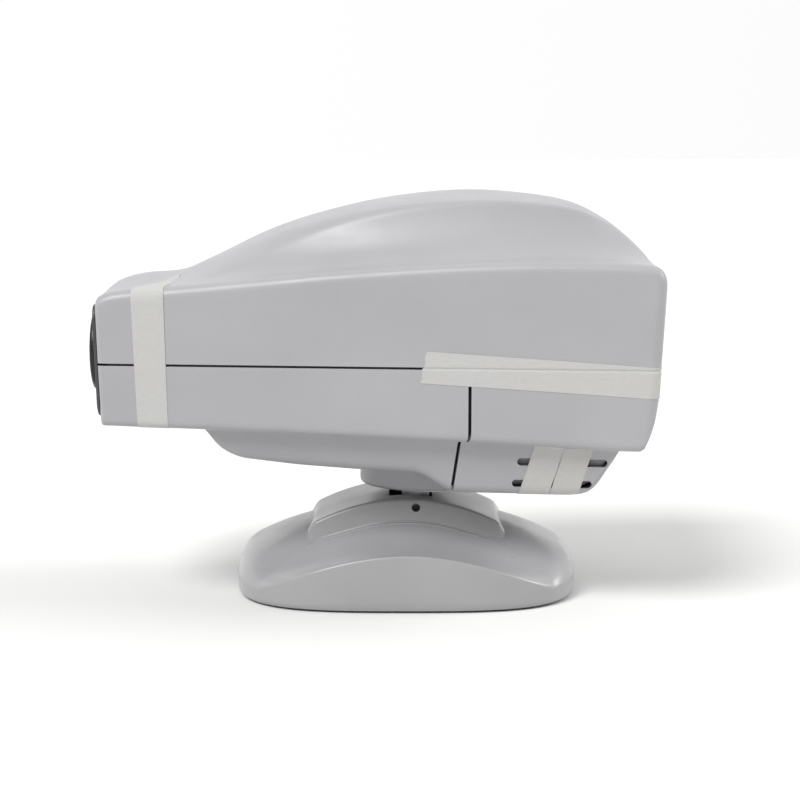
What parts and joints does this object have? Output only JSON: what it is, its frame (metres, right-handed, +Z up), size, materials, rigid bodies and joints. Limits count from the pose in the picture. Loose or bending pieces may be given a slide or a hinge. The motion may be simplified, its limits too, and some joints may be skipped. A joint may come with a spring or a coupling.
{
  "type": "eye chart projector",
  "caption": "Tabletop eye chart projector: tapered head with a crested top and a front lens, on a domed pedestal that lets it tilt and swivel.",
  "frame": {"origin": "centre of the pedestal's underside, on the table", "axes": "-X is where the lens points, +Z is up, Y runs across the head"},
  "size_m": [0.3653, 0.2244, 0.2615],
  "materials": {
    "housing_grey": "satin moulded plastic",
    "pedestal_grey": "satin moulded plastic",
    "black_plastic": "fine-grained black plastic",
    "black_metal": "black motor can",
    "anodised_black": "black anodised",
    "coated_glass": "coated optical glass",
    "steel": "zinc-plated",
    "aluminium": "machined",
    "brass": "turned",
    "rubber": "matt",
    "circuit_board": "solder mask",
    "ceramic": "unglazed"
  },
  "bodies": {
    "pedestal": {"base_housing": "pedestal_grey", "base_saddle": "pedestal_grey", "base_plate": "steel", "centre_pad": "steel", "foot_1": "rubber", "foot_2": "rubber", "foot_3": "rubber", "foot_4": "rubber", "counterweight": "steel", "tilt_cheek_near": "steel", "tilt_cheek_far": "steel", "tilt_axle": "steel", "axle_nut": "steel"},
    "neck": {"neck_block": "aluminium", "swivel_plate": "steel", "stud_nut": "steel"},
    "head": {"upper_shell": "housing_grey", "front_lower_shell": "housing_grey", "rear_cover": "housing_grey", "front_plate": "black_plastic", "remote_window": "coated_glass", "swivel_drum": "housing_grey", "pivot_bushing": "brass", "lens_barrel": "anodised_black", "barrel_stand": "aluminium", "condenser_stand": "aluminium", "condenser_tube": "aluminium", "condenser_front": "coated_glass", "condenser_rear": "coated_glass", "heat_glass": "coated_glass", "lamp_reflector": "aluminium", "lamp_bulb": "coated_glass", "lamp_socket": "ceramic", "lamp_bracket": "steel", "mask_bracket": "steel", "mask_motor": "black_metal", "chart_bracket": "steel", "chart_motor": "black_metal", "chassis_plate": "steel", "chassis_rail_front": "aluminium", "chassis_rail_rear": "aluminium", "power_supply": "aluminium", "control_board": "circuit_board", "board_spacer": "aluminium", "fan_frame": "black_plastic", "rear_panel": "black_plastic", "power_inlet": "black_plastic", "switch_frame": "black_plastic", "fuse_holder": "black_plastic"},
    "focus_ring": {"focus_ring": "anodised_black"},
    "lens_cell": {"lens_cell": "anodised_black", "objective_front": "coated_glass", "objective_rear": "coated_glass"},
    "mask_wheel": {"mask_disc": "anodised_black", "mask_hub": "brass"},
    "chart_wheel": {"chart_disc": "anodised_black", "chart_hub": "brass"},
    "fan_rotor": {"fan_rotor": "black_plastic"},
    "power_rocker": {"power_rocker": "black_plastic"}
  },
  "joints": [
    {"name": "head_tilt", "type": "hinge", "parent": "pedestal", "child": "neck", "pos_m": [0.0063, 0, 0.0573], "axis": [0, 1, 0], "range_deg": [-10, 10]},
    {"name": "head_swivel", "type": "hinge", "parent": "neck", "child": "head", "pos_m": [0.012, 0, 0.0677], "axis": [0, 0, 1], "range_deg": [-20, 20]},
    {"name": "focus_turn", "type": "hinge", "parent": "head", "child": "focus_ring", "pos_m": [-0.206, 0, 0.1565], "axis": [1, 0, 0], "range_deg": [-90, 90]},
    {"name": "lens_slide", "type": "slide", "parent": "head", "child": "lens_cell", "axis": [1, 0, 0], "range_m": [-0.003, 0.003]},
    {"name": "mask_spin", "type": "hinge", "parent": "head", "child": "mask_wheel", "pos_m": [-0.038, 0, 0.1935], "axis": [1, 0, 0], "continuous": true},
    {"name": "chart_spin", "type": "hinge", "parent": "head", "child": "chart_wheel", "pos_m": [-0.029, 0, 0.1935], "axis": [1, 0, 0], "continuous": true},
    {"name": "fan_spin", "type": "hinge", "parent": "head", "child": "fan_rotor", "pos_m": [0.143, -0.027, 0.1815], "axis": [1, 0, 0], "continuous": true},
    {"name": "rocker_tip", "type": "hinge", "parent": "head", "child": "power_rocker", "pos_m": [0.155, 0.031, 0.194], "axis": [0, 0, 1], "range_deg": [-18, 0]}
  ],
  "couplings": [
    {"joint": "lens_slide", "follows": "focus_turn", "m_per_rad": 0.0019}
  ]
}
